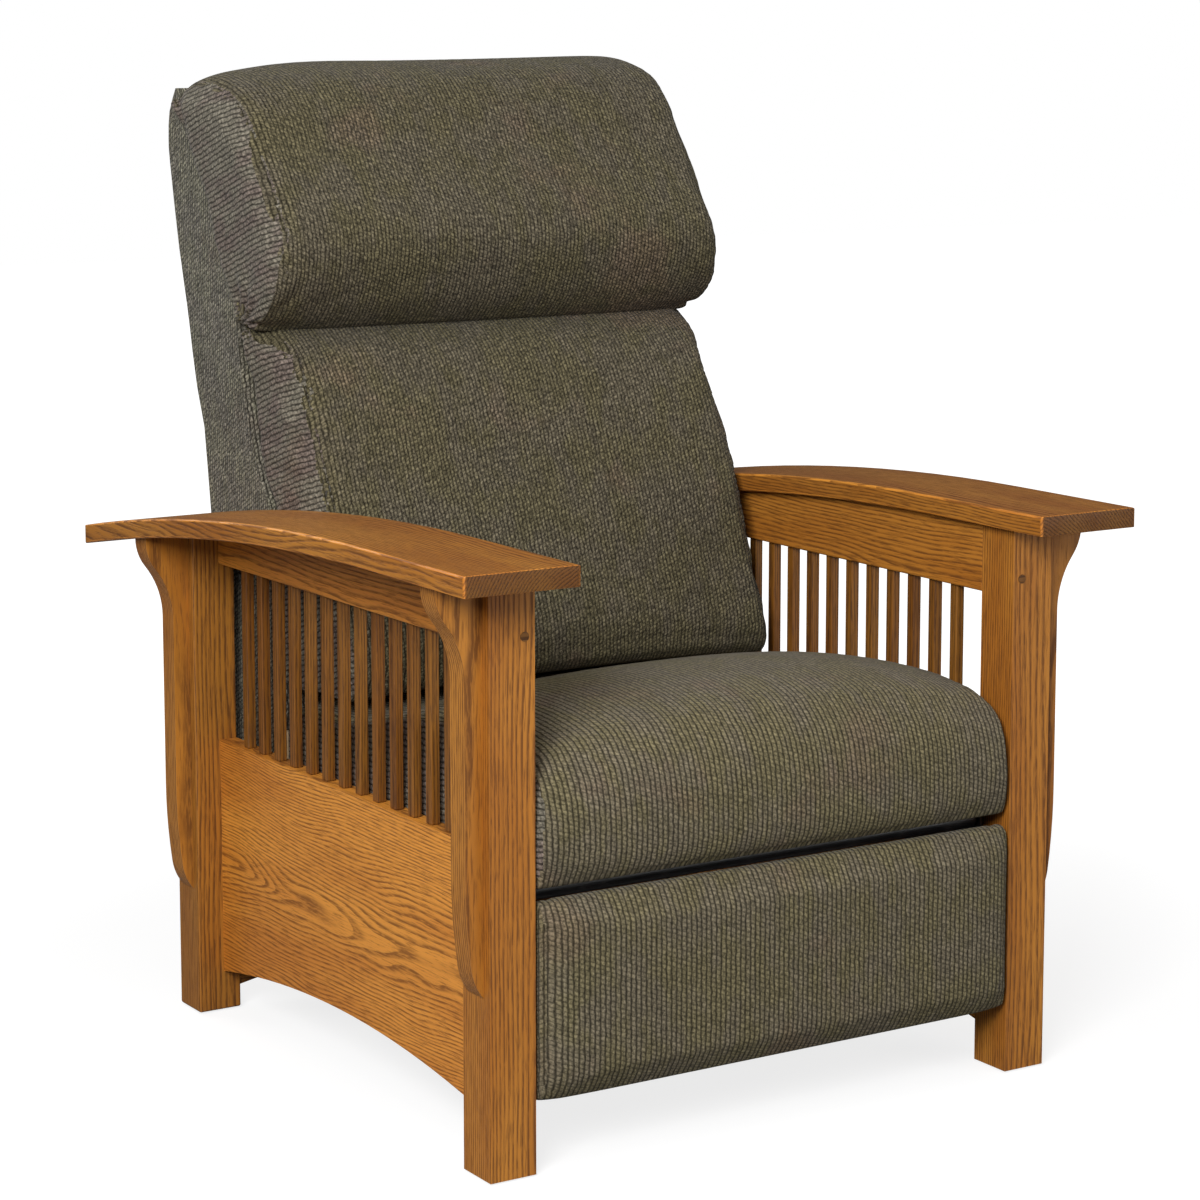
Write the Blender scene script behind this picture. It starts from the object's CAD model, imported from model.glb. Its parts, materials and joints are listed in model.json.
# %% [markdown]
# # A mission reclining armchair
# The chair is a square oak frame with a reclining, padded chair hung inside it.
# Its wood and its mechanism arrive as solids that were built and tested to size,
# so this lesson only dresses them. The cloth parts arrive as plain blocks, and
# each is replaced here by a sewn and filled cushion of the same size and place.

# %% Open the solid model
import json
import math

import bmesh
import bpy
import numpy as np
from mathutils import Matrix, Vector, noise


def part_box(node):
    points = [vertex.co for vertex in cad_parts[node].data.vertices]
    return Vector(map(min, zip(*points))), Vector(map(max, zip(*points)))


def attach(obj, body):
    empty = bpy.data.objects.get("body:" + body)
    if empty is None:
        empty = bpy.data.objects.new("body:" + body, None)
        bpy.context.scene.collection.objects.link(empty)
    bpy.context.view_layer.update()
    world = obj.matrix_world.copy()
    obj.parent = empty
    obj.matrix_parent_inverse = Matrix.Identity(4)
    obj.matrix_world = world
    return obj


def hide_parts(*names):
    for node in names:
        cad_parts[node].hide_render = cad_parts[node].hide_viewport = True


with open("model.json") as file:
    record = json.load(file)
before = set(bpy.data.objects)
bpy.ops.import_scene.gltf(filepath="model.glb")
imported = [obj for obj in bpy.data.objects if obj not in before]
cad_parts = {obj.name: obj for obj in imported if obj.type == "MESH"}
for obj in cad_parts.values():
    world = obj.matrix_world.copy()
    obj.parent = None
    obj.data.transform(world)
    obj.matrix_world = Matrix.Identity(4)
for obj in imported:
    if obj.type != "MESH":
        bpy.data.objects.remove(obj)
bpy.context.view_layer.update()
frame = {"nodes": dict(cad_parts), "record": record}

nodes = frame["nodes"]

# %% [markdown]
# ## The camera
# The chair is seen from its right-hand side as the sitter sits, from a little
# over a metre up and nearly four metres away. A long lens and a small vertical
# shift keep the uprights nearly parallel.

# %% Place the camera
turn, dip = math.radians(-32.38), math.radians(7.918)
lens = bpy.data.cameras.new("camera")
lens.lens, lens.sensor_width, lens.shift_y = 96.82, 36.0, -0.1
camera = bpy.data.objects.new("camera", lens)
bpy.context.scene.collection.objects.link(camera)
camera.location = (-1.9465, -3.1112, 1.1574)
camera.rotation_euler = (math.pi / 2 - dip, 0, turn)
bpy.context.scene.camera = camera
print("camera at", [round(c, 3) for c in camera.location])

# %% [markdown]
# ## Studio light
# The wood has a satin lacquer, which needs broad soft lights to show its shape.
# One large panel stands at the front left, one hangs overhead, a weak one fills
# in from the right, and one behind lights the back and the top of the headrest.

# %% Hang the lamps
def lamp(name, place, aim, size, watts):
    data = bpy.data.lights.new(name, "AREA")
    data.shape, data.size, data.size_y, data.energy = "RECTANGLE", size[0], size[1], watts
    light = bpy.data.objects.new(name, data)
    light.location = place
    light.rotation_euler = (Vector(place) - Vector(aim)).to_track_quat("Z", "Y").to_euler()
    bpy.context.scene.collection.objects.link(light)


lamp("key", (-2.7, -2.5, 2.3), (0, 0, 0.45), (1.5, 1.5), 160)
lamp("overhead", (-0.1, -0.9, 3.1), (0, 0, 0.5), (2.0, 2.0), 27)
lamp("fill", (2.2, -3.2, 1.3), (0, 0, 0.5), (1.8, 1.8), 32)
lamp("rear", (-1.3, 2.5, 2.2), (0, 0, 0.6), (1.8, 1.8), 28)

# %% [markdown]
# ## The room
# The lens sees a white room. The chair itself is lit by a dim and slightly warm
# one, which keeps the shadows open without washing them out.

# %% Light the room
dim_warm, dim_strength = (1.0, 0.98, 0.95, 1), 0.11
world = bpy.data.worlds.new("room")
bpy.context.scene.world = world
world.use_nodes = True
links, made = world.node_tree.links, world.node_tree.nodes
made.clear()
path = made.new("ShaderNodeLightPath")
seen = made.new("ShaderNodeMath")
seen.operation = "MAXIMUM"
links.new(path.outputs["Is Camera Ray"], seen.inputs[0])
links.new(path.outputs["Is Transmission Ray"], seen.inputs[1])
room, white = made.new("ShaderNodeBackground"), made.new("ShaderNodeBackground")
room.inputs["Color"].default_value, room.inputs["Strength"].default_value = dim_warm, dim_strength
white.inputs["Color"].default_value, white.inputs["Strength"].default_value = (1, 1, 1, 1), 1.0
either, sky = made.new("ShaderNodeMixShader"), made.new("ShaderNodeOutputWorld")
links.new(seen.outputs[0], either.inputs[0])
links.new(room.outputs[0], either.inputs[1])
links.new(white.outputs[0], either.inputs[2])
links.new(either.outputs[0], sky.inputs[0])
bpy.context.scene.view_settings.view_transform = "Standard"
print("world", world.name, "strength", dim_strength, "around the chair and 1.0 for the lens")

# %% [markdown]
# ## Building finishes from nodes
# A finish is a small tree of shader nodes. This helper keeps each tree short to
# write: every method adds one node and hands back its output, so a recipe reads
# from top to bottom like the steps of a finisher.

# %% A bench for finishes
class Finish:
    def __init__(self, name):
        self.material = bpy.data.materials.new(name)
        self.material.use_nodes = True
        self.tree = self.material.node_tree
        self.tree.nodes.clear()
        self.surface = self.node("BsdfPrincipled")
        out = self.node("OutputMaterial")
        self.tree.links.new(self.surface.outputs[0], out.inputs["Surface"])

    def node(self, kind, **facts):
        made = self.tree.nodes.new("ShaderNode" + kind)
        for fact, value in facts.items():
            setattr(made, fact, value)
        return made

    def feed(self, socket, value):
        if isinstance(value, bpy.types.NodeSocket):
            self.tree.links.new(value, socket)
        else:
            socket.default_value = value

    def math(self, step, *values):
        made = self.node("Math", operation=step)
        for socket, value in zip(made.inputs, values):
            self.feed(socket, value)
        return made.outputs[0]

    def vector(self, step, *values):
        made = self.node("VectorMath", operation=step)
        for socket, value in zip(made.inputs, values):
            self.feed(socket, value)
        return made.outputs[0]

    def split(self, value):
        made = self.node("SeparateXYZ")
        self.feed(made.inputs[0], value)
        return made.outputs

    def join(self, x=0.0, y=0.0, z=0.0):
        made = self.node("CombineXYZ")
        for socket, value in zip(made.inputs, (x, y, z)):
            self.feed(socket, value)
        return made.outputs[0]

    def blend(self, share, first, second):
        made = self.node("Mix", data_type="RGBA")
        self.feed(made.inputs[0], share)
        self.feed(made.inputs[6], first)
        self.feed(made.inputs[7], second)
        return made.outputs[2]

    def noise(self, where, scale=1.0, detail=2.0, rough=0.5, out=0):
        made = self.node("TexNoise")
        self.feed(made.inputs["Vector"], where)
        self.feed(made.inputs["Scale"], scale)
        self.feed(made.inputs["Detail"], detail)
        self.feed(made.inputs["Roughness"], rough)
        return made.outputs[out]

    def ease(self, value, low, high, to_low=0.0, to_high=1.0):
        made = self.node("MapRange", interpolation_type="SMOOTHSTEP")
        for socket, part in zip(made.inputs, (value, low, high, to_low, to_high)):
            self.feed(socket, part)
        return made.outputs[0]

    def bump(self, height, reach, strength=1.0):
        made = self.node("Bump")
        self.feed(made.inputs["Strength"], strength)
        self.feed(made.inputs["Distance"], reach)
        self.feed(made.inputs["Height"], height)
        self.tree.links.new(made.outputs[0], self.surface.inputs["Normal"])

    def coat(self, colour, roughness, **fixed):
        self.feed(self.surface.inputs["Base Color"], colour)
        self.feed(self.surface.inputs["Roughness"], roughness)
        for name, value in fixed.items():
            self.surface.inputs[name.replace("_", " ").title().replace("Ior", "IOR")].default_value = value
        return self.material


print("a bench with", sum(callable(tool) for tool in vars(Finish).values()), "tools")

# %% [markdown]
# ## Stained oak
# Oak is ring-porous. Each year leaves a band of open pores and a band of dense
# wood, and a board shows these rings as stripes, or as nested arches where the
# saw ran near the middle of the log. So the pattern is worked out as in the tree:
# the distance of each point from the pith, bent a little along the trunk, gives
# the ring. Long thin noise cuts the pores, and stain makes them nearly black. Cut
# ends drink the most stain, so they are darker than the faces.

# %% Oak, for one board
def oak(name, board, grain, pith, tone, rings=0.0045, figure=0.03):
    """grain is the axis that the fibres follow, pith the way to the middle of the log, tone how light the
    board is, rings the width of a year, and figure how far the rings bend."""
    f = Finish(name)
    lay = f.node("Mapping")
    f.feed(lay.inputs["Vector"], f.node("TexCoord").outputs["Object"])
    middle = (board[0] + board[1]) / 2
    quarter = math.pi / 2
    turned = {"X": (0, 0, 0), "Y": (0, 0, -quarter), "Z": (0, quarter, 0)}[grain]
    local = {"X": (middle.y, middle.z), "Y": (-middle.x, middle.z), "Z": (middle.y, -middle.x)}[grain]
    lay.inputs["Rotation"].default_value = turned
    lay.inputs["Location"].default_value = (pith[2], -local[0] + pith[0], -local[1] + pith[1])
    along, across, deep = f.split(lay.outputs[0])

    def drawn_out(length, width):
        return f.join(f.math("MULTIPLY", along, length), f.math("MULTIPLY", across, width),
                      f.math("MULTIPLY", deep, width))

    bend = f.split(f.noise(drawn_out(1.5, 5.0), 1.0, 3.0, 0.5, out=1))
    wide = f.math("MULTIPLY_ADD", bend[0], figure, f.math("SUBTRACT", across, figure / 2))
    far = f.math("MULTIPLY_ADD", bend[1], figure, f.math("SUBTRACT", deep, figure / 2))
    radius = f.math("SQRT", f.math("ADD", f.math("MULTIPLY", wide, wide), f.math("MULTIPLY", far, far)))
    fibre = f.noise(drawn_out(7.0, 120.0), 1.0, 2.0)
    year = f.math("FRACT", f.math("MULTIPLY_ADD", fibre, 0.42, f.math("DIVIDE", radius, rings)))
    early = f.math("MULTIPLY", f.ease(year, 0.0, 0.07), f.ease(year, 0.22, 0.60, 1.0, 0.0))
    broken = f.ease(f.noise(drawn_out(42.0, 380.0), 1.0, 3.0, 0.6), 0.36, 0.58)
    fleck = f.ease(f.noise(drawn_out(30.0, 640.0), 1.0, 3.0, 0.6), 0.50, 0.66)
    pore = f.math("MULTIPLY", early, f.math("MULTIPLY_ADD", broken, 0.55, 0.36))
    pore = f.math("MAXIMUM", pore, f.math("MULTIPLY", fleck, 0.62))
    cloud = f.noise(drawn_out(2.5, 16.0), 1.0, 3.0)
    pale = (0.560 * tone, 0.226 * tone, 0.032 * tone, 1)
    warm = (0.430 * tone, 0.150 * tone, 0.018 * tone, 1)
    brown = (0.100 * tone, 0.028 * tone, 0.004 * tone, 1)
    colour = f.blend(f.ease(cloud, 0.34, 0.68), pale, warm)
    colour = f.blend(f.math("MULTIPLY", pore, 0.86), colour, brown)
    facing = f.split(f.node("TexCoord").outputs["Normal"])["XYZ".index(grain)]
    cut = f.ease(f.math("ABSOLUTE", facing), 0.80, 0.96, 1.0, 0.42)
    colour = f.vector("MULTIPLY", colour, f.join(cut, cut, cut))
    f.bump(f.math("MULTIPLY", pore, -1.0), 0.0003, 0.7)
    return f.coat(colour, f.math("MULTIPLY_ADD", pore, 0.25, 0.42), specular_ior_level=0.35,
                  coat_weight=0.10, coat_roughness=0.22)


# %% [markdown]
# ## One board after another
# The boards are not cut from one plank. Each gets its own place in the log: the
# wide side panels lie close to the pith and show arches, while legs and slats
# lie further out and show nearly straight stripes.

# %% Choose each board
boards = {
    # part: (grain, pith, tone, rings, figure)
    "side_panel": ("Y", (0.028, 0.010, 1.0), 1.36, 0.0040, 0.10),
    "top_rail": ("Y", (0.034, 0.045, 4.0), 1.32, 0.0050, 0.07),
    "arm": ("Y", (0.130, 0.090, 7.0), 0.80, 0.0036, 0.06),
    "front_leg": ("Z", (0.110, 0.060, 2.0), 0.92, 0.0030, 0.018),
    "rear_leg": ("Z", (0.120, 0.050, 5.0), 0.74, 0.0032, 0.02),
    "slats": ("Z", (0.055, 0.200, 3.0), 0.46, 0.0034, 0.02),
    "corbels": ("Z", (0.120, 0.045, 8.0), 0.86, 0.0040, 0.02)}
darker_board, darker_share = "right_top_rail", 0.72
stretchers = ("front_stretcher", "rear_stretcher")


def dress(node, material):
    piece = nodes[node]
    piece.data.materials.clear()
    piece.data.materials.append(material)


for side, flip in (("left", 1.0), ("right", -1.0)):
    for part, (grain, pith, tone, rings, figure) in boards.items():
        node = side + "_" + part
        log = (pith[0] * flip, pith[1], pith[2] + 3 * flip)
        if node == darker_board:
            tone = tone * darker_share
        dress(node, oak("oak_" + node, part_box(node), grain, log, tone, rings, figure))
for node in stretchers:
    dress(node, oak("oak_" + node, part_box(node), "X", (0.05, 0.04, 1.0), 0.8, 0.005))
print("oak boards", sum(m.name.startswith("oak_") for m in bpy.data.materials))

# %% [markdown]
# ## Eased edges
# A cabinetmaker breaks every sharp edge with sandpaper, and that thin rounded
# line is what catches the light. Solids arrive as loose triangles, so a Weld
# joins them before a Bevel rounds only the edges that are really sharp. Hands have
# rubbed the arms' edges paler than the rest.

# %% Ease the wooden edges
same_place, sharp_edge = 0.00002, math.radians(30)
board_ease, slat_ease, stretcher_ease = 0.0026, 0.0016, 0.002
worn_tone = 1.25


def ease_edges(node, width, worn=None):
    piece = nodes[node]
    weld = piece.modifiers.new("weld", "WELD")
    weld.merge_threshold = same_place
    bevel = piece.modifiers.new("bevel", "BEVEL")
    bevel.width, bevel.segments, bevel.limit_method = width, 2, "ANGLE"
    bevel.angle_limit, bevel.profile, bevel.harden_normals = sharp_edge, 0.5, False
    bevel.use_clamp_overlap = True
    if worn is not None:
        piece.data.materials.append(worn)
        bevel.material = 1
    shade = piece.modifiers.new("normals", "WEIGHTED_NORMAL")
    shade.keep_sharp = False


for side in ("left", "right"):
    for part, (grain, pith, tone, rings, figure) in boards.items():
        node, worn = side + "_" + part, None
        if part == "arm":
            worn = oak("oak_edge_" + node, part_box(node), grain, pith, worn_tone, rings, figure)
        ease_edges(node, slat_ease if part == "slats" else board_ease, worn)
for node in stretchers:
    ease_edges(node, stretcher_ease)
print("eased", sum("bevel" in o.modifiers for o in nodes.values()), "wooden pieces")

# %% [markdown]
# ## Plugs, glides, steel and springs
# Nylon glides stand under the legs. The reclining action is stamped steel in dark
# paint, with zinc-plated pins and screws, and the springs are bare wire.

# %% Small finishes
def painted_steel():
    f = Finish("painted_steel")
    place = f.node("TexCoord").outputs["Object"]
    peel = f.noise(place, 900.0, 2.0)
    wear = f.noise(place, 28.0, 4.0, 0.6)
    colour = f.blend(f.ease(wear, 0.52, 0.74), (0.022, 0.022, 0.024, 1), (0.048, 0.046, 0.045, 1))
    f.bump(peel, 0.00012, 0.5)
    return f.coat(colour, f.ease(wear, 0.3, 0.8, 0.34, 0.52), metallic=0.0)


def zinc():
    f = Finish("zinc")
    place = f.node("TexCoord").outputs["Object"]
    spangle = f.noise(place, 320.0, 3.0, 0.6)
    return f.coat(f.blend(spangle, (0.46, 0.45, 0.42, 1), (0.70, 0.70, 0.69, 1)),
                  f.ease(spangle, 0.3, 0.7, 0.28, 0.46), metallic=1.0)


def wire():
    f = Finish("spring_wire")
    place = f.node("TexCoord").outputs["Object"]
    drawn = f.noise(f.vector("MULTIPLY", place, (300.0, 60.0, 300.0)), 1.0, 2.0)
    return f.coat(f.blend(drawn, (0.24, 0.23, 0.22, 1), (0.40, 0.39, 0.37, 1)),
                  f.ease(drawn, 0.3, 0.7, 0.35, 0.5), metallic=1.0)


def nylon():
    f = Finish("glide")
    place = f.node("TexCoord").outputs["Object"]
    grit = f.noise(place, 1400.0, 2.0)
    f.bump(grit, 0.0001, 0.6)
    return f.coat(f.blend(grit, (0.030, 0.027, 0.024, 1), (0.050, 0.046, 0.042, 1)), 0.6)


print("small finishes: painted steel, zinc, spring wire and nylon")

# %% [markdown]
# ## Plain wood, foam and plugs
# The hidden frames are planed wood without stain, and the foam is a mass of tiny
# cells. The small plugs over the leg joints are end grain, stained dark. Then every
# node gets the finish that its slot names.

# %% Plain wood and foam
across_chair, upright = (8.0, 190.0, 190.0), (190.0, 190.0, 8.0)


def plain_wood(name, long_way):
    f = Finish(name)
    place = f.node("TexCoord").outputs["Object"]
    line = f.noise(f.vector("MULTIPLY", place, long_way), 1.0, 3.0, 0.6)
    broad = f.noise(place, 9.0, 2.0)
    colour = f.blend(f.ease(line, 0.35, 0.7), (0.60, 0.43, 0.24, 1), (0.42, 0.27, 0.13, 1))
    colour = f.blend(f.ease(broad, 0.3, 0.8, 0.0, 0.4), colour, (0.66, 0.50, 0.31, 1))
    f.bump(line, 0.0002, 0.4)
    return f.coat(colour, 0.62)


def foam():
    f = Finish("foam")
    place = f.node("TexCoord").outputs["Object"]
    cell = f.noise(place, 700.0, 3.0, 0.7)
    f.bump(cell, 0.0006, 0.7)
    return f.coat(f.blend(cell, (0.62, 0.55, 0.38, 1), (0.80, 0.74, 0.58, 1)), 0.9)


shared = {"steel": painted_steel(), "zinc": zinc(), "spring_wire": wire(), "glide": nylon(), "foam": foam()}
slots = {row["node"]: row["material_slot"] for row in frame["record"]["subparts"]}
for node in nodes:
    if slots[node] in shared:
        dress(node, shared[slots[node]])
    elif slots[node] == "frame_wood":
        dress(node, plain_wood("plain_" + node, upright if node == "back_posts" else across_chair))
    elif slots[node] == "plug":
        dress(node, oak("plug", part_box(node), "X", (0.05, 0.03, 2.0), 0.34))
print("dressed", sum(bool(o.data.materials) for o in nodes.values()), "nodes")

# %% [markdown]
# ## Chenille cloth
# The cover is a heavy chenille: fat olive knuckles stand in columns with dark
# furrows between them. Every piece carries a map in metres, across and along the
# cloth, so the columns follow the cloth round each form. The knuckles are worked
# out from that map. Where the pile has been brushed, they wander and the columns
# break up, and the yarn drifts from olive to a greyer tone in short streaks, with
# a little rust in places. The fronts, the seat and footrest, the boxed ends and
# the outside back each show it at their own scale.

# %% Weave the cloth
def chenille(name, yarn, grey, wide, tall, stray, furrow, fleck, row_end=0.25, even=0.8):
    """wide and tall are one knuckle's pitch, stray is how far the columns wander, furrow how darkly they
    part, fleck how strong the specks are, row_end how bright a knuckle's ends stay, and even how much the
    knuckles differ."""
    f = Finish(name)
    place = f.node("TexCoord").outputs["Object"]
    across, along, _ = f.split(f.node("UVMap", uv_map="weave").outputs[0])
    drift = f.split(f.noise(place, 110.0, 2.0, 0.55, out=1))
    x = f.math("MULTIPLY_ADD", f.math("SUBTRACT", drift[0], 0.5), stray * 5, f.math("DIVIDE", across, wide))
    column = f.math("FLOOR", x)
    u = f.math("SUBTRACT", f.math("SUBTRACT", x, column), 0.5)
    half_drop = f.math("MULTIPLY", f.math("MODULO", f.math("ADD", column, 4000.0), 2.0), 0.5)
    y = f.math("ADD", f.math("MULTIPLY_ADD", u, 0.5, f.math("DIVIDE", along, tall)), half_drop)
    y = f.math("MULTIPLY_ADD", f.math("SUBTRACT", drift[1], 0.5), stray * 6, y)
    row = f.math("FLOOR", y)
    v = f.math("SUBTRACT", f.math("SUBTRACT", y, row), 0.5)
    own = f.node("TexWhiteNoise", noise_dimensions="2D")
    f.feed(own.inputs["Vector"], f.join(column, row))
    chance = own.outputs["Value"]
    side = f.ease(f.math("ABSOLUTE", u), 0.20, 0.48, 1.0, 0.0)
    end = f.ease(f.math("ABSOLUTE", v), 0.20, 0.50, 1.0, row_end)
    knuckle = f.math("MULTIPLY", side, end)
    fuzz = f.noise(place, 900.0, 3.0, 0.7)
    fine = f.join(f.math("MULTIPLY", across, 330.0), f.math("MULTIPLY", along, 250.0))
    speck = f.ease(f.noise(fine, 1.0, 2.0, 0.6), 0.36, 0.62)
    coarse = f.join(f.math("MULTIPLY", across, 42.0), f.math("MULTIPLY", along, 15.0))
    streak = f.noise(coarse, 1.0, 3.0, 0.6)
    cloud = f.math("MULTIPLY_ADD", f.noise(place, 14.0, 2.0), 0.5, f.math("MULTIPLY", streak, 0.5))
    tone = f.blend(f.ease(cloud, 0.42, 0.58), (*yarn, 1), (*grey, 1))
    rust = f.ease(f.noise(place, 8.0, 3.0, 0.6), 0.56, 0.70, 0.0, 0.45)
    tone = f.blend(rust, tone, (0.170, 0.118, 0.084, 1))
    lift = f.math("MULTIPLY_ADD", chance, even, f.math("MULTIPLY_ADD", fuzz, 0.8, 0.82 - even / 2))
    lift = f.math("MULTIPLY", lift, f.math("MULTIPLY_ADD", knuckle, furrow, 1.0 - furrow))
    lift = f.math("MULTIPLY", lift, f.math("MULTIPLY_ADD", speck, fleck, 1.2 - fleck))
    colour = f.vector("MULTIPLY", tone, f.join(lift, lift, lift))
    f.bump(f.math("MULTIPLY_ADD", fuzz, 0.35, knuckle), 0.0012, 0.75)
    return f.coat(colour, 0.95, specular_ior_level=0.10, sheen_weight=0.07, sheen_roughness=0.35)


cover = chenille("chenille", (0.120, 0.103, 0.058), (0.122, 0.104, 0.070), wide=0.0050, tall=0.0044,
                 stray=0.18, furrow=0.70, fleck=0.75, row_end=0.40, even=0.60)
ribbed = chenille("chenille_ribbed", (0.150, 0.127, 0.070), (0.152, 0.128, 0.086), wide=0.0062, tall=0.0050,
                  stray=0.10, furrow=0.76, fleck=0.55, row_end=0.50, even=0.36)
boxing = chenille("chenille_boxing", (0.168, 0.152, 0.118), (0.148, 0.118, 0.100), wide=0.0062, tall=0.0044,
                  stray=0.16, furrow=0.74, fleck=0.6, row_end=0.6, even=0.5)
plain_cover = chenille("chenille_back", (0.205, 0.192, 0.140), (0.186, 0.170, 0.136), wide=0.0052,
                       tall=0.0056, stray=0.25, furrow=0.80, fleck=0.7)
print("cloths", cover.name, ribbed.name, boxing.name, plain_cover.name)

# %% [markdown]
# ## Outlines for the cushions
# A cushion is drawn as a side outline, in millimetres from the point midway
# between the front and rear legs. A curve through a few points is enough, because
# the filling rounds the rest.

# %% Draw smooth outlines
front_leg, rear_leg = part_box("left_front_leg"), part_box("left_rear_leg")
between_legs = (front_leg[0].y + rear_leg[1].y) / 2


def outline(points):
    return [Vector((0.0, y / 1000 + between_legs, z / 1000)) for y, z in points]


def curved(points, steps):
    line = []
    for i in range(len(points) - 1):
        a, b = points[max(i - 1, 0)], points[i]
        c, d = points[i + 1], points[min(i + 2, len(points) - 1)]
        for k in range(steps):
            t = k / steps
            line.append(0.5 * ((2 * b) + (c - a) * t + (2 * a - 5 * b + 4 * c - d) * t ** 2
                               + (3 * b - a - 3 * c + d) * t ** 3))
    return line + [points[-1]]


print("the middle between the legs is at y", round(between_legs, 4))

# %% [markdown]
# ## Sewing a case
# A case starts as one flat outline, which is extruded across the chair and cut
# into strips. Each strip is then moved from the full middle outline towards the
# slimmer outline at the ends, so the case is crowned like a sewn one.

# %% Sew a case
strips = 24


def sewn_case(name, middle, end, half, power):
    """half is half the width, and a higher power keeps the middle's outline nearer to the ends."""
    bm = bmesh.new()
    face = bm.faces.new([bm.verts.new((-half, p.y, p.z)) for p in middle])
    grown = bmesh.ops.extrude_face_region(bm, geom=[face])["geom"]
    far_end = [v for v in grown if isinstance(v, bmesh.types.BMVert)]
    bmesh.ops.translate(bm, vec=(2 * half, 0, 0), verts=far_end)
    for k in range(1, strips):
        x = -half * math.cos(math.pi * k / strips)
        bmesh.ops.bisect_plane(bm, geom=bm.verts[:] + bm.edges[:] + bm.faces[:], plane_co=(x, 0, 0),
                               plane_no=(1, 0, 0))
    slim = {(round(m.y, 5), round(m.z, 5)): e for m, e in zip(middle, end)}
    for v in bm.verts:
        e = slim[(round(v.co.y, 5), round(v.co.z, 5))]
        share = (abs(v.co.x) / half) ** power
        v.co.y += (e.y - v.co.y) * share
        v.co.z += (e.z - v.co.z) * share
    bmesh.ops.triangulate(bm, faces=bm.faces[:])
    bmesh.ops.recalc_face_normals(bm, faces=bm.faces[:])
    mesh = bpy.data.meshes.new(name)
    bm.to_mesh(mesh)
    bm.free()
    piece = bpy.data.objects.new(name, mesh)
    bpy.context.scene.collection.objects.link(piece)
    return piece


print("each case is cut into", strips, "strips, narrower towards its ends")

# %% [markdown]
# ## Reading and writing a mesh
# A modifier keeps its result to itself until it is asked for. The first helper
# takes that result as the piece's own mesh. The next ones read its points and
# normals as rows of numbers, which is quick for a fine net, and write the points
# back. The last cuts a pocket with a Boolean, where a frame lies inside a cushion.

# %% Tools for a mesh
def settled(piece):
    bpy.context.view_layer.update()
    mesh = bpy.data.meshes.new_from_object(piece.evaluated_get(bpy.context.evaluated_depsgraph_get()))
    piece.modifiers.clear()
    piece.data = mesh
    return mesh


def points_of(mesh):
    flat = np.zeros(len(mesh.vertices) * 3)
    mesh.vertices.foreach_get("co", flat)
    return flat.reshape(-1, 3)


def normals_of(mesh):
    flat = np.zeros(len(mesh.vertices) * 3, np.float32)
    mesh.vertex_normals.foreach_get("vector", flat)
    return flat.reshape(-1, 3).astype(float)


def set_points(mesh, points):
    mesh.vertices.foreach_set("co", np.asarray(points, float).ravel())
    mesh.update()


def hollow(piece, low, high):
    """Cuts a square pocket, given by its corners, out of a piece."""
    bm = bmesh.new()
    bmesh.ops.create_cube(bm, size=1.0)
    bmesh.ops.scale(bm, vec=high - low, verts=bm.verts)
    bmesh.ops.translate(bm, vec=(low + high) / 2, verts=bm.verts)
    mesh = bpy.data.meshes.new("pocket")
    bm.to_mesh(mesh)
    bm.free()
    pocket = bpy.data.objects.new("pocket", mesh)
    bpy.context.scene.collection.objects.link(pocket)
    cut = piece.modifiers.new("pocket", "BOOLEAN")
    cut.operation, cut.object, cut.solver = "DIFFERENCE", pocket, "EXACT"
    settled(piece)
    bpy.data.objects.remove(pocket)


tools = (settled, points_of, normals_of, set_points, hollow)
print("mesh tools:", ", ".join(tool.__name__ for tool in tools))

# %% [markdown]
# ## Filling a case
# A case becomes a cushion when it is filled. The case is drawn in a little,
# its skin is made an even net, and cloth simulation blows it up against its own
# seams, which are held. No point may sink, or swell further than the case was
# drawn in, so the cushion keeps its drawn size. One subdivision makes the skin smooth.

# %% Fill a case
soft_swell, firm_swell, seam_hold = 0.008, 0.005, 0.010
net_size, fine_net = 0.0075, 0.0045
filling_pressure, cloth_growth, filling_frames = 400.0, 0.02, 20


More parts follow.
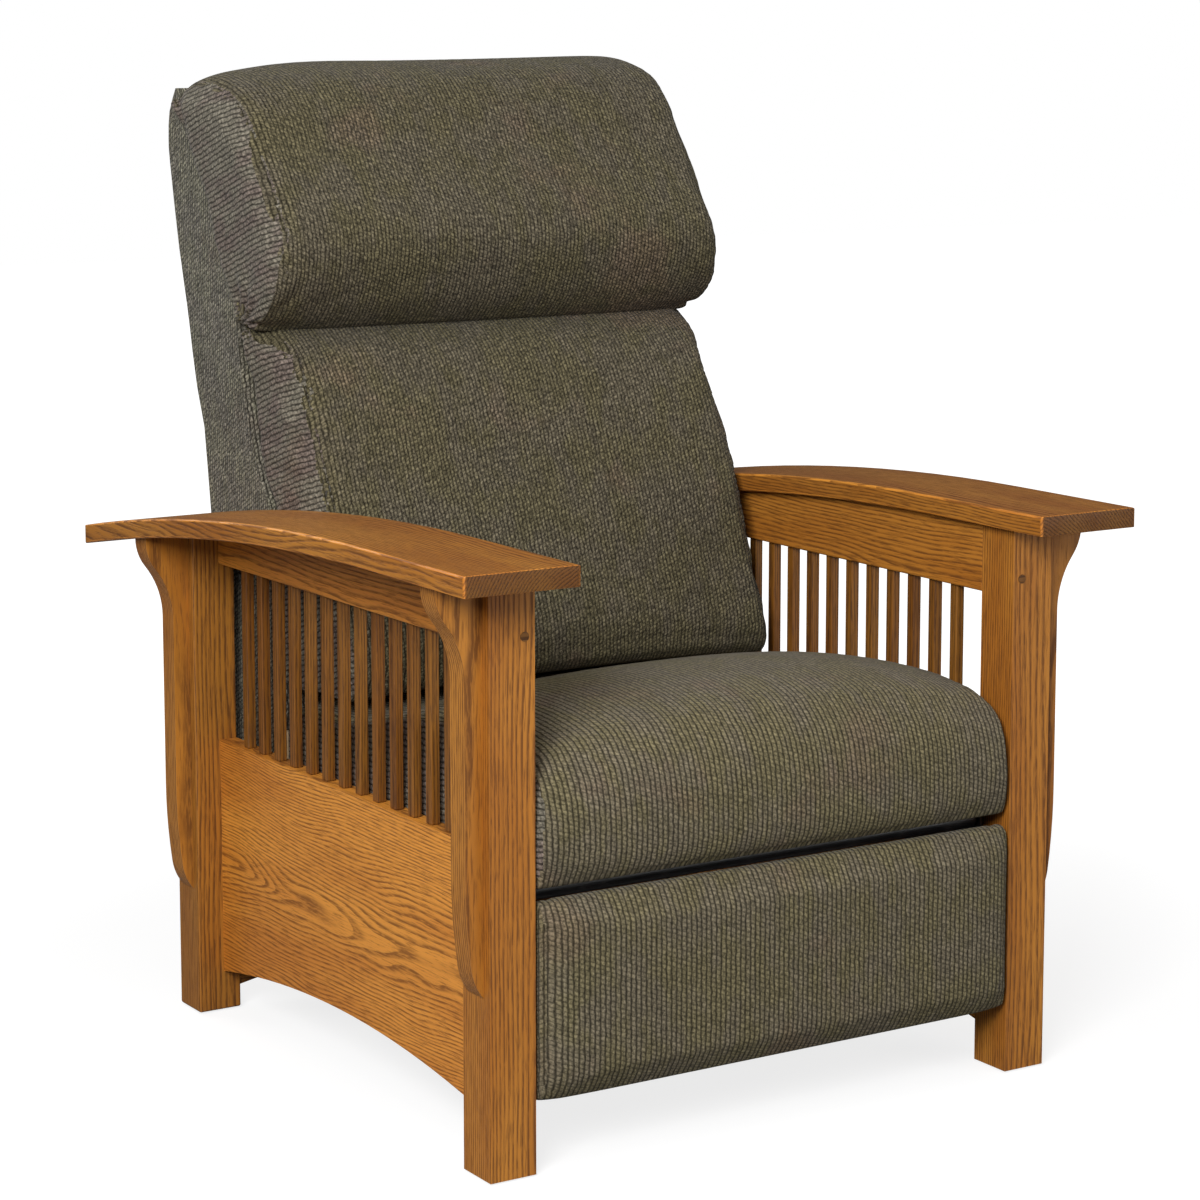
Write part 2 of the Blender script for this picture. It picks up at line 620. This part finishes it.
def filled(piece, swell, held, rests, grid=net_size):
    """swell is how far the skin may rise, held marks its seams, and rests the places where it lies flat."""
    net = piece.modifiers.new("net", "REMESH")
    net.mode, net.voxel_size, net.adaptivity = "VOXEL", grid, 0.0
    mesh = settled(piece)
    drawn, outward = points_of(mesh), normals_of(mesh)
    flat = rests(drawn)
    swell = swell * (1.0 - flat)
    start = drawn - outward * swell[:, None]
    set_points(mesh, start)
    stays = np.maximum(held(drawn), flat)
    group = piece.vertex_groups.new(name="held")
    for index in np.nonzero(stays > 0.02)[0]:
        group.add([int(index)], float(stays[index]), "REPLACE")
    cloth = piece.modifiers.new("fill", "CLOTH")
    facts = cloth.settings
    facts.quality, facts.mass = 4, 0.3
    facts.use_pressure, facts.uniform_pressure_force = True, filling_pressure
    facts.tension_stiffness = facts.compression_stiffness = 12
    facts.bending_stiffness, facts.effector_weights.gravity = 0.6, 0.0
    facts.shrink_min = -cloth_growth
    facts.vertex_group_mass, facts.pin_stiffness = "held", 1.0
    for moment in range(1, filling_frames + 1):
        bpy.context.scene.frame_set(moment)
    mesh = settled(piece)
    bpy.context.scene.frame_set(1)
    moved = points_of(mesh) - start
    moved -= outward * np.minimum((moved * outward).sum(axis=1), 0)[:, None]
    length = np.linalg.norm(moved, axis=1)
    moved *= (np.minimum(length, swell) / np.maximum(length, 1e-9))[:, None]
    set_points(mesh, start + moved)
    piece.modifiers.new("fine", "SUBSURF").levels = 1
    piece.modifiers["fine"].render_levels = 1
    mesh = settled(piece)
    for face in mesh.polygons:
        face.use_smooth = True
    size, rise = np.ptp(points_of(mesh), axis=0), float(np.minimum(length, swell).mean())
    print(piece.name, len(mesh.vertices), "points, swelled", round(1000 * rise, 1), "mm to",
          [round(float(c), 3) for c in size])


print("cases swell by up to", soft_swell, "or", firm_swell, "m over", filling_frames, "frames")

# %% [markdown]
# ## Laying the cloth
# The weave needs to know where it is on the cloth. The front panels take the
# place across the chair and the length along the outline. The boxed ends are cut
# flat, so they take the two ways of their own plane, turned by the lean of their
# ribs. Each corner of a face gets its own pair, so the cloth may change direction
# at a seam without smearing.

# %% Lay the cloth on a piece
boxed_above = 0.72


def along_line(points, line):
    """The length along a line to the nearest place on it, and the distance to it, in the y-z plane."""
    a = np.array([(p.y, p.z) for p in line])
    b, step = a[:-1], a[1:] - a[:-1]
    size = np.linalg.norm(step, axis=1)
    run = np.concatenate([[0], np.cumsum(size)[:-1]])
    best, length = np.full(len(points), 1e9), np.zeros(len(points))
    for i in range(len(b)):
        share = np.clip(((points - b[i]) @ step[i]) / max(size[i] ** 2, 1e-12), 0, 1)
        away = np.linalg.norm(points - b[i] - share[:, None] * step[i], axis=1)
        near = away < best
        best[near], length[near] = away[near], (run[i] + share * size[i])[near]
    return length, best


def lay_cloth(piece, front_line, second, lean):
    """second is the cloth of the ends, and lean how many degrees its columns rise towards the front."""
    mesh = piece.data
    points = points_of(mesh)
    corner = np.zeros(len(mesh.loops), int)
    mesh.loops.foreach_get("vertex_index", corner)
    facing = np.zeros(len(mesh.polygons) * 3, np.float32)
    mesh.polygons.foreach_get("normal", facing)
    counts = np.zeros(len(mesh.polygons), int)
    mesh.polygons.foreach_get("loop_total", counts)
    ends = np.abs(facing.reshape(-1, 3)[:, 0]) > boxed_above
    length, _ = along_line(points[:, 1:], front_line)
    front = np.stack([points[:, 0], length], axis=1)[corner]
    rise, run = math.sin(math.radians(lean)), math.cos(math.radians(lean))
    y, z = points[:, 1], points[:, 2]
    boxed = np.stack([y * rise + z * run, z * rise - y * run], axis=1)[corner]
    laid = np.where(np.repeat(ends, counts)[:, None], boxed, front)
    mesh.materials.append(second)
    mesh.polygons.foreach_set("material_index", ends.astype(np.int32))
    weave = mesh.uv_layers.new(name="weave")
    weave.data.foreach_set("uv", laid.ravel())
    mesh.update()


print("a face is a boxed end where its normal points sideways by more than", boxed_above)

# %% [markdown]
# ## Stitches and gathers
# Sewing pulls the cloth in. A seam leaves a groove, a corner where several
# layers meet is drawn together with folds running out from it, and a boxed end
# that is a little too long for its seam lies in small waves. Each of these is a
# step, a function from points and normals to moved points, so that a piece can
# be worked by any number of them in turn.

# %% Work a filled piece
def worked(piece, *steps):
    points, normals = points_of(piece.data), normals_of(piece.data)
    for step in steps:
        points = step(points, normals)
    set_points(piece.data, points)


def tucked(line, half, depth, reach):
    """A groove along a line on both ends of a piece."""
    def step(points, normals):
        _, away = along_line(points[:, 1:], line)
        near_end = np.clip((np.abs(points[:, 0]) - half + 0.03) / 0.02, 0, 1)
        share = np.clip(1 - away / reach, 0, 1) ** 2 * near_end
        return points - np.stack([np.sign(points[:, 0]) * depth * share, 0 * share, 0 * share], axis=1)
    return step


def gathered(place, reach, pull, folds, depth):
    """Cloth drawn together at a place on both ends, with folds running out from it."""
    def step(points, normals):
        for side in (-1, 1):
            away = points - np.array([side * place[0], place[1], place[2]])
            size = np.linalg.norm(away, axis=1)
            share = np.exp(-(size / reach) ** 2)
            ripple = np.sin(folds * np.arctan2(away[:, 2], away[:, 1])) * np.clip(2 * size / reach, 0, 1)
            points = points - away * (pull * share)[:, None] + normals * (depth * share * ripple)[:, None]
        return points
    return step


def ruffled(half, depth):
    """Small waves on the ends of a piece."""
    def step(points, normals):
        ends = np.nonzero((np.abs(points[:, 0]) > half - 0.02) & (np.abs(normals[:, 0]) > 0.4))[0]
        points = points.copy()
        for i in ends:
            x, y, z = points[i]
            wave = noise.noise(Vector((x * 9, (y + 0.5 * z) * 16, (z - 0.35 * y) * 46)))
            points[i, 0] -= math.copysign(depth * (0.5 - wave), x)
        return points
    return step


print("sewing steps:", tucked.__name__, gathered.__name__, ruffled.__name__)

# %% [markdown]
# ## Cushions that have been sat on
# No filling stays even. A headrest's top slumps at one end, a pillow bulges above
# the arms that hold it in, its foot sinks where the seat falls away, and one side
# is fuller than the other. These steps bend the filled pieces by such small
# amounts, each fading out smoothly.

# %% Shape a filled piece
def slumped(depth, lift):
    """The top of a soft piece, settled lower at one end and risen a little at the other."""
    def step(points, normals):
        high = np.clip((points[:, 2] - 0.98) / 0.12, 0, 1)
        sunk = depth * np.exp(-((points[:, 0] + 0.31) / 0.10) ** 2)
        low = sunk - lift * np.clip(points[:, 0] / 0.3 + 0.2, 0, 1)
        return points - np.stack([0 * low, 0 * low, low * high], axis=1)
    return step


def widened(amount, low, high):
    """A piece let out sideways above the arms, by more towards its ends."""
    def step(points, normals):
        share = np.clip((points[:, 2] - low) / (high - low), 0, 1)
        wide = amount * share * share * (3 - 2 * share) * points[:, 0] / 0.3
        return points + np.stack([wide, 0 * wide, 0 * wide], axis=1)
    return step


def let_down(amount, level):
    """The foot of a piece, lowered towards its ends."""
    def step(points, normals):
        low = np.clip((level - points[:, 2]) / 0.05, 0, 1)
        drop = amount * low * (np.abs(points[:, 0]) / 0.3) ** 2.6
        return points - np.stack([0 * drop, 0 * drop, drop], axis=1)
    return step


def plumped(amount, height, spread):
    """More filling at the viewer's right, pushing the front forward around a height."""
    def step(points, normals):
        share = np.clip((points[:, 0] - 0.05) / 0.24, 0, 1) * np.exp(-((points[:, 2] - height) / spread) ** 2)
        ahead = amount * share * np.clip(-normals[:, 1] * 2, 0, 1)
        return points - np.stack([0 * ahead, ahead, 0 * ahead], axis=1)
    return step


print("shaping steps:", slumped.__name__, widened.__name__, let_down.__name__, plumped.__name__)

# %% [markdown]
# ## The seams of the back
# The back is three sewn pieces that share their seams: the outside back, the
# headrest and the lumbar pillow. Behind, both pillows lie against the outside back,
# so their rear outlines are drawn first, and the filling leaves them flat there.

# %% Draw the seams of the back
back_seam = outline([
    (484, 1091), (448, 1060), (413, 1001), (381, 958), (363, 911), (335, 866), (318, 822)])
lumbar_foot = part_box("lumbar_pillow")[0].z * 1000
lumbar_back = outline([(180, lumbar_foot + 1), (240, lumbar_foot + 1), (242, 560), (252, 612), (273, 640),
                       (290, 680), (303, 726), (310, 775), (316, 818)])
seam_groove, seam_reach = 0.007, 0.022


def near_line(line, x, reach):
    """1 on a line on both ends of a piece, falling to 0 a little way off it."""
    def held(points):
        _, away = along_line(points[:, 1:], line)
        gap = np.sqrt(away ** 2 + np.clip(x - np.abs(points[:, 0]), 0, None) ** 2)
        return np.clip(1.0 - gap / reach, 0, 1)
    return held


def near_back(points):
    """1 where a pillow lies on the outside back, falling to 0 a little way off it."""
    _, away = along_line(points[:, 1:], back_seam + lumbar_back[::-1])
    return np.clip(1.5 - away / 0.012, 0, 1)


print("the lumbar pillow's foot is at", round(lumbar_foot), "mm")

# %% [markdown]
# ## The headrest
# The headrest is a fat pillow that wraps over the top of the back. Its front
# panel ends in a seam down each side, and a boxed end fills the way to the
# outside back. It is pinched at the lower corners, where all of these meet.

# %% Make the headrest
head_half = 0.309
head_front = curved(outline([
    (318, 818), (262, 804), (222, 828), (200, 862), (190, 905), (200, 944), (226, 980), (258, 1026),
    (282, 1068), (320, 1103), (372, 1119), (425, 1124), (462, 1114), (484, 1096)]), 3)
head_edge = curved(outline([
    (318, 820), (268, 812), (230, 828), (205, 852), (197, 879), (201, 905), (219, 938), (254, 998),
    (284, 1032), (326, 1074), (378, 1096), (425, 1102), (460, 1098), (482, 1090)]), 3)
head_corner = (head_half - 0.006, 0.282 + between_legs, 0.826)
headrest = sewn_case("headrest", head_front + back_seam[1:-1], head_edge + back_seam[1:-1], head_half, 30.0)
filled(headrest, soft_swell, near_line(head_edge, head_half, seam_hold), near_back)
worked(headrest, slumped(depth=0.018, lift=0.003), tucked(back_seam, head_half, seam_groove, seam_reach),
       ruffled(head_half, depth=0.002), gathered(head_corner, reach=0.050, pull=0.42, folds=9, depth=0.004))
headrest.data.materials.append(cover)
lay_cloth(headrest, head_front, boxing, 18)
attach(headrest, "back")
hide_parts("headrest_pillow")

# %% [markdown]
# ## The lumbar pillow
# The lower pillow leans back from the seat to the headrest. It is fullest in
# its lower third. Between the arms it is as wide as the gap lets it be, and above
# them it bulges. Its boxed ends taper upwards and are gathered at the top.

# %% Make the lumbar pillow
lumbar_half = 0.291
lumbar_front = curved(outline([
    (286, 828), (252, 816), (212, 790), (181, 752), (156, 702), (136, 652), (111, 600), (86, 537),
    (66, 490), (54, 450), (56, lumbar_foot + 18), (74, lumbar_foot + 1)]), 3)
lumbar_edge = curved(outline([
    (292, 822), (264, 800), (236, 772), (208, 738), (178, 696), (150, 648), (122, 598), (96, 536),
    (74, 488), (61, 450), (62, lumbar_foot + 12), (78, lumbar_foot + 1)]), 3)
lumbar_corner = (lumbar_half - 0.004, 0.292 + between_legs, 0.818)
lumbar = sewn_case("lumbar_cushion", lumbar_front + lumbar_back, lumbar_edge + lumbar_back, lumbar_half, 30.0)
filled(lumbar, soft_swell, near_line(lumbar_edge, lumbar_half, seam_hold), near_back)
worked(lumbar, widened(amount=0.016, low=0.74, high=0.81),
       tucked(lumbar_back, lumbar_half, seam_groove, seam_reach), ruffled(lumbar_half, depth=0.004),
       let_down(amount=0.008, level=0.48), plumped(amount=0.014, height=0.68, spread=0.10),
       gathered(lumbar_corner, reach=0.040, pull=0.25, folds=7, depth=0.003))
lumbar.data.materials.append(cover)
lay_cloth(lumbar, lumbar_front, boxing, 18)
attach(lumbar, "back")
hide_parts("lumbar_pillow")

# %% [markdown]
# ## The seat cushion
# The seat is a deep cushion with a waterfall front: one length of cloth runs
# from the back, over the crown and down the front. Its ends are boxed. It wraps
# the wooden seat frame, so a pocket is cut in it for the frame and the springs.

# %% Make the seat
seat_box, seat_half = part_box("seat_cushion"), 0.3055
seat_line = [(-376, 298), (-387, 318), (-389, 350), (-386, 388), (-374, 424), (-348, 450), (-300, 464),
             (-240, 470), (-170, 469), (-105, 459), (-45, 441), (10, 421), (42, 409), (68, 403), (125, 401),
             (172, 399), (187, 392)]
seat_rim = [(-370, 299), (-380, 319), (-382, 348), (-378, 380), (-366, 408), (-340, 426), (-294, 434),
            (-236, 437), (-170, 435), (-105, 429), (-45, 419), (10, 406), (42, 399), (68, 395), (125, 392),
            (172, 390), (185, 385)]
seat_front = curved(outline(seat_line), 3)
seat_edge = curved(outline(seat_rim), 3)
springs_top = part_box("seat_springs")[1].z
frame_low, frame_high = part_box("seat_side_rails")
fit, below_springs = 0.0005, springs_top - 0.038
under = [Vector((0, seat_box[1].y, 0.380)), Vector((0, seat_box[1].y, below_springs)),
         Vector((0, frame_low.y, below_springs)), Vector((0, frame_low.y - 0.005, seat_box[0].z))]
seat = sewn_case("seat", seat_front + under, seat_edge + under, seat_half, 2.6)
hollow(seat, Vector((frame_low.x - fit, frame_low.y - fit, 0.2)),
       Vector((frame_high.x + fit, 0.4, springs_top + fit)))


def near_frame(points):
    """1 under the seat and at its rear end, where it lies on the springs and the frame."""
    over_frame = (springs_top + 0.02 - points[:, 2]) / 0.02 * (points[:, 1] > frame_low.y - 0.02)
    at_rear = (points[:, 1] - seat_box[1].y + 0.02) / 0.015
    return np.clip(np.maximum(over_frame, at_rear), 0, 1)


filled(seat, soft_swell, near_line(seat_edge, seat_half, seam_hold), near_frame)
seat.data.materials.append(ribbed)
lay_cloth(seat, seat_front, boxing, 4)
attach(seat, "seat")
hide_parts("seat_cushion")

# %% [markdown]
# ## The footrest pad
# The closed footrest is the front of the chair below the seat. It is a board
# wrapped in foam and cloth, so its face is only a little full and its edges are
# rounded small. It has no seam at its ends, where the cloth is folded round.

# %% Make the footrest pad
pad_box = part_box("footrest_pad")
pad_half, pad_fit = pad_box[1].x, 0.0004
front, rear = pad_box[0].y, pad_box[1].y
low, high = pad_box[0].z, pad_box[1].z


def at(y, z):
    return Vector((0.0, y, z))


pad_front = curved([at(rear, low - 0.002), at(front + 0.022, low - 0.003), at(front + 0.008, low + 0.004),
                    at(front + 0.001, low + 0.022), at(front, low + 0.064), at(front, (low + high) / 2),
                    at(front, high - 0.060), at(front + 0.001, high - 0.026), at(front + 0.008, high - 0.008),
                    at(front + 0.024, high - 0.001), at(rear, high - 0.001)], 3)
pad_edge = [at(p.y + 0.010, p.z) if p.y < rear - 0.002 else p for p in pad_front]
pad = sewn_case("footrest_cover", pad_front, pad_edge, pad_half + 0.003, 16.0)
board_low, board_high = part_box("footrest_board")
hollow(pad, board_low - Vector((pad_fit, pad_fit, pad_fit)), board_high + Vector((pad_fit, 0.05, pad_fit)))


def near_board(points):
    """1 at the back of the pad, which is stapled to the board."""
    return np.clip((points[:, 1] - board_low.y + 0.010) / 0.008, 0, 1)


def no_seam(points):
    return np.zeros(len(points))


filled(pad, firm_swell, no_seam, near_board, grid=fine_net)
pad.data.materials.append(ribbed)
lay_cloth(pad, pad_front, ribbed, 90)
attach(pad, "footrest")
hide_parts("footrest_pad")

# %% [markdown]
# ## The outside back
# The rear of the back is a plain cover pulled over the frame, straight at the
# sides and rounded at the rear corners. It is sewn like the cushions but not
# filled, because it is stretched over a frame, and above the arms it is let out a
# little to meet the wider pillows.

# %% Make the outside back
back_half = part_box("outside_back")[1].x + 0.001
rear_line = curved(outline([
    (484, 1090), (502, 1062), (506, 1030), (503, 1000), (482, 902), (462, 831), (450, 780), (432, 688),
    (418, 590), (398, 480), (384, 400), (372, 330), (366, 300)]), 2)
side_seam = outline([(240, 300), (243, 560), (253, 612), (274, 640), (291, 680), (304, 726), (311, 775),
                     (318, 819), (336, 865), (364, 910), (382, 957), (414, 1000), (449, 1059)])
rear_edge = [p - Vector((0, 0.010, 0)) for p in rear_line]
outside = sewn_case("outside_back_cover", side_seam + rear_line, side_seam + rear_edge, back_half, 14.0)
print("outside back", [round(c, 4) for c in outside.dimensions])
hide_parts("outside_back")
worked(outside, widened(amount=0.006, low=0.68, high=0.76))
outside.data.materials.append(plain_cover)
lay_cloth(outside, rear_line, plain_cover, 90)
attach(outside, "back")

# %% [markdown]
# ## The floor
# The chair stands on a plain pale floor. Its paint is dull, so it takes the
# chair's soft shadow. For the eye alone it also glows a little, and more so
# further out, until it is as white as the room around it.

# %% Lay the floor
floor_size, shadow_from, shadow_to = 12.0, 0.7, 2.0
bm = bmesh.new()
bmesh.ops.create_grid(bm, x_segments=1, y_segments=1, size=floor_size)
mesh = bpy.data.meshes.new("floor")
bm.to_mesh(mesh)
bm.free()
floor = bpy.data.objects.new("floor", mesh)
bpy.context.scene.collection.objects.link(floor)
f = Finish("floor_paint")
f.tree.nodes.clear()
out, both, glow = f.node("OutputMaterial"), f.node("AddShader"), f.node("Emission")
dull = f.node("BsdfDiffuse")
dull.inputs[0].default_value = (0.27, 0.27, 0.27, 1)
x, y, _ = f.split(f.node("TexCoord").outputs["Object"])
away = f.math("SQRT", f.math("ADD", f.math("MULTIPLY", x, x), f.math("MULTIPLY", y, y)))
seen = f.node("LightPath").outputs["Is Camera Ray"]
f.feed(glow.inputs["Strength"], f.math("MULTIPLY", seen, f.ease(away, shadow_from, shadow_to, 0.80, 1.1)))
f.tree.links.new(dull.outputs[0], both.inputs[0])
f.tree.links.new(glow.outputs[0], both.inputs[1])
f.tree.links.new(both.outputs[0], out.inputs["Surface"])
floor.data.materials.append(f.material)
print("floor", floor.name, "shows the shadow best within", shadow_from, "m and none past", shadow_to, "m")

# %% [markdown]
# ## The finished chair
# Last, the dressed chair is measured beside the solid one. The cushions may swell
# a little past the plain blocks, and the rest has to be the same size.
